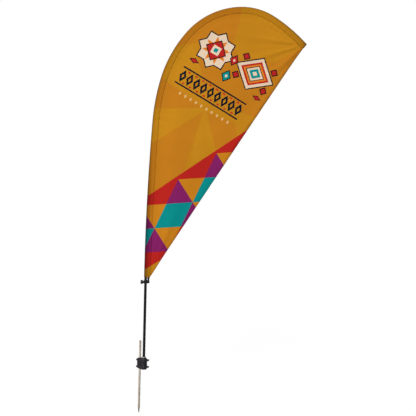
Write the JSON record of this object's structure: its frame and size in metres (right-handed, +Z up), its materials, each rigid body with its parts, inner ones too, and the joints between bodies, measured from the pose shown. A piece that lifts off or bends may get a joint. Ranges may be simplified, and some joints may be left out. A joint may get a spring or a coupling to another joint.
{
  "type": "teardrop flag",
  "caption": "Double-sided teardrop flag: a printed fabric sail on a bowed sectional mast that turns in a clamp bracket on a pointed ground stake.",
  "frame": {"origin": "on the stake's axis at ground level, 8 mm under the bracket", "axes": "+Z up the stake; +X from the mast towards the sail's tip; +Y towards the back of the sail, whose plane is parallel to XZ through the mast's axis"},
  "size_m": [0.9823, 0.0593, 2.4492],
  "materials": {
    "ground_spike": "zinc plated",
    "bracket_front_half": "moulded, fine grain",
    "bracket_rear_half": "moulded, fine grain",
    "clamp_bolts": "black oxide",
    "clamp_washers": "black oxide",
    "clamp_nuts": "black oxide",
    "spindle_upper_bush": "acetal",
    "spindle_lower_bush": "acetal",
    "thrust_washer": "acetal",
    "spindle": "turned, zinc plated",
    "retaining_clip": "spring steel",
    "mast_section_1": "black anodised",
    "mast_section_2": "black anodised",
    "mast_section_3": "glass fibre rod, ground",
    "mast_section_4": "glass fibre rod, ground",
    "mast_ferrule_1": "mill",
    "mast_ferrule_2": "mill",
    "mast_ferrule_3": "mill",
    "mast_tip_cap": "moulded",
    "front_panel": "printed knitted polyester",
    "blackout_liner": "opaque liner",
    "back_panel": "printed knitted polyester",
    "pole_sleeve": "printed knitted polyester",
    "leech_hem": "folded and stitched",
    "tip_pocket": "webbing",
    "tension_collar": "moulded",
    "collar_insert": "threaded insert",
    "screw_pad": "nylon",
    "collar_screw": "zinc plated",
    "collar_knob": "moulded",
    "tension_strap": "woven webbing"
  },
  "bodies": {
    "stake": {"ground_spike": "ground_spike"},
    "bracket": {"bracket_front_half": "bracket_front_half", "bracket_rear_half": "bracket_rear_half", "clamp_bolts": "clamp_bolts", "clamp_washers": "clamp_washers", "clamp_nuts": "clamp_nuts", "spindle_upper_bush": "spindle_upper_bush", "spindle_lower_bush": "spindle_lower_bush", "thrust_washer": "thrust_washer"},
    "spindle": {"spindle": "spindle", "retaining_clip": "retaining_clip"},
    "mast": {"mast_section_1": "mast_section_1", "mast_section_2": "mast_section_2", "mast_section_3": "mast_section_3", "mast_section_4": "mast_section_4", "mast_ferrule_1": "mast_ferrule_1", "mast_ferrule_2": "mast_ferrule_2", "mast_ferrule_3": "mast_ferrule_3", "mast_tip_cap": "mast_tip_cap", "front_panel": "front_panel", "blackout_liner": "blackout_liner", "back_panel": "back_panel", "pole_sleeve": "pole_sleeve", "leech_hem": "leech_hem", "tip_pocket": "tip_pocket", "tension_strap": "tension_strap"},
    "collar": {"tension_collar": "tension_collar", "collar_insert": "collar_insert"},
    "pad": {"screw_pad": "screw_pad"},
    "thumb_screw": {"collar_screw": "collar_screw", "collar_knob": "collar_knob"}
  },
  "joints": [
    {"name": "bracket_height", "type": "slide", "parent": "stake", "child": "bracket", "axis": [0, 0, 1], "range_m": [-0.006, 0.09]},
    {"name": "spindle_spin", "type": "hinge", "parent": "bracket", "child": "spindle", "pos_m": [0.02428, -0.01291, 0.0805], "axis": [0, 0, 1], "continuous": true},
    {"name": "mast_lift", "type": "slide", "parent": "spindle", "child": "mast", "axis": [0, 0, 1], "range_m": [0, 0.12]},
    {"name": "collar_slide", "type": "slide", "parent": "mast", "child": "collar", "axis": [0, 0, 1], "range_m": [-0.015, 0.006], "deforming": ["tension_strap"]},
    {"name": "screw_advance", "type": "slide", "parent": "collar", "child": "pad", "axis": [-1, 0, 0], "range_m": [0, 0.002]},
    {"name": "screw_turn", "type": "hinge", "parent": "pad", "child": "thumb_screw", "pos_m": [0.00878, -0.01291, 0.532], "axis": [-1, 0, 0], "range_deg": [0, 720]}
  ],
  "couplings": [
    {"joint": "screw_turn", "follows": "screw_advance", "rad_per_m": 6283}
  ]
}
